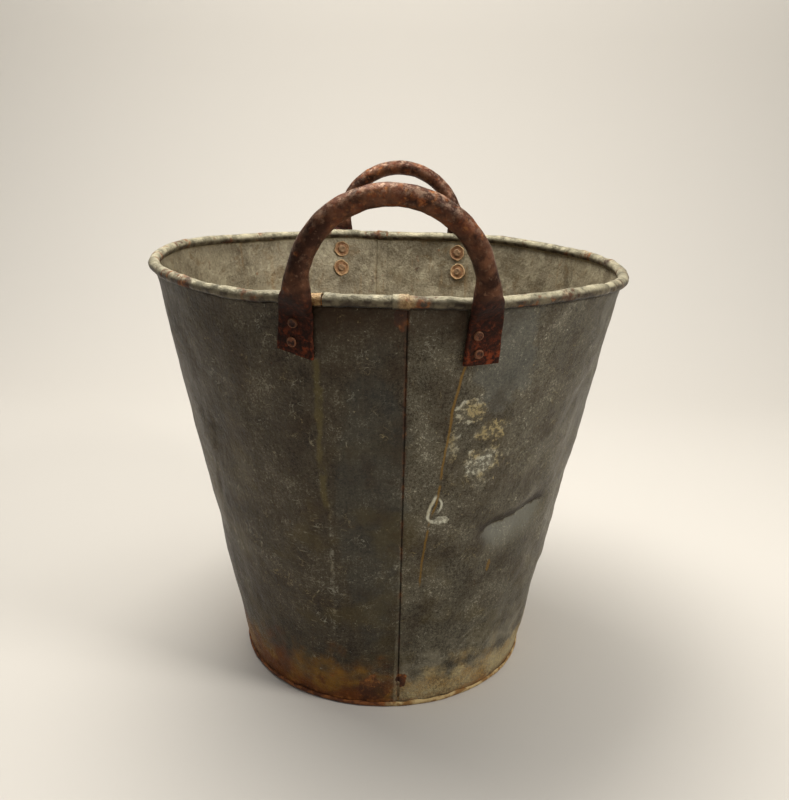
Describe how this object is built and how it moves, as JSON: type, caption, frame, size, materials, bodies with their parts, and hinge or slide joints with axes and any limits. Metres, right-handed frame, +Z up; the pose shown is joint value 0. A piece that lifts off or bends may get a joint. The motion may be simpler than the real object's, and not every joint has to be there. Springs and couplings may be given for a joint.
{
  "type": "florist bucket",
  "caption": "Tall tapered sheet-metal flower bucket with a rolled wired rim, lapped side seams, a recessed hemmed base and riveted bent-tube handles.",
  "frame": {"origin": "on the floor under the middle of the base", "axes": "+Z up; the front handle is at -Y and the rear handle at +Y, so Y runs through the two handles; +X to the right seen from the front"},
  "size_m": [0.4804, 0.5291, 0.5223],
  "materials": {
    "body_steel": "dull weathered galvanised sheet with rust stains",
    "base_steel": "dull weathered galvanised sheet, rusty at the hem",
    "wire_steel": "rusty round wire",
    "handle_steel": "dark brown rust patina with worn orange patches",
    "rivet_steel": "rusty brown",
    "washer_steel": "rusty brown over worn zinc"
  },
  "bodies": {
    "root": {"body_panel_left": "body_steel", "body_panel_right": "body_steel", "rim_wire": "wire_steel", "base_pan": "base_steel", "front_handle": "handle_steel", "rear_handle": "handle_steel", "front_left_lower_rivet": "rivet_steel", "front_left_upper_rivet": "rivet_steel", "front_right_lower_rivet": "rivet_steel", "front_right_upper_rivet": "rivet_steel", "rear_left_lower_rivet": "rivet_steel", "rear_left_upper_rivet": "rivet_steel", "rear_right_lower_rivet": "rivet_steel", "rear_right_upper_rivet": "rivet_steel", "front_left_lower_washer": "washer_steel", "front_left_upper_washer": "washer_steel", "front_right_lower_washer": "washer_steel", "front_right_upper_washer": "washer_steel", "rear_left_lower_washer": "washer_steel", "rear_left_upper_washer": "washer_steel", "rear_right_lower_washer": "washer_steel", "rear_right_upper_washer": "washer_steel"}
  },
  "joints": []
}
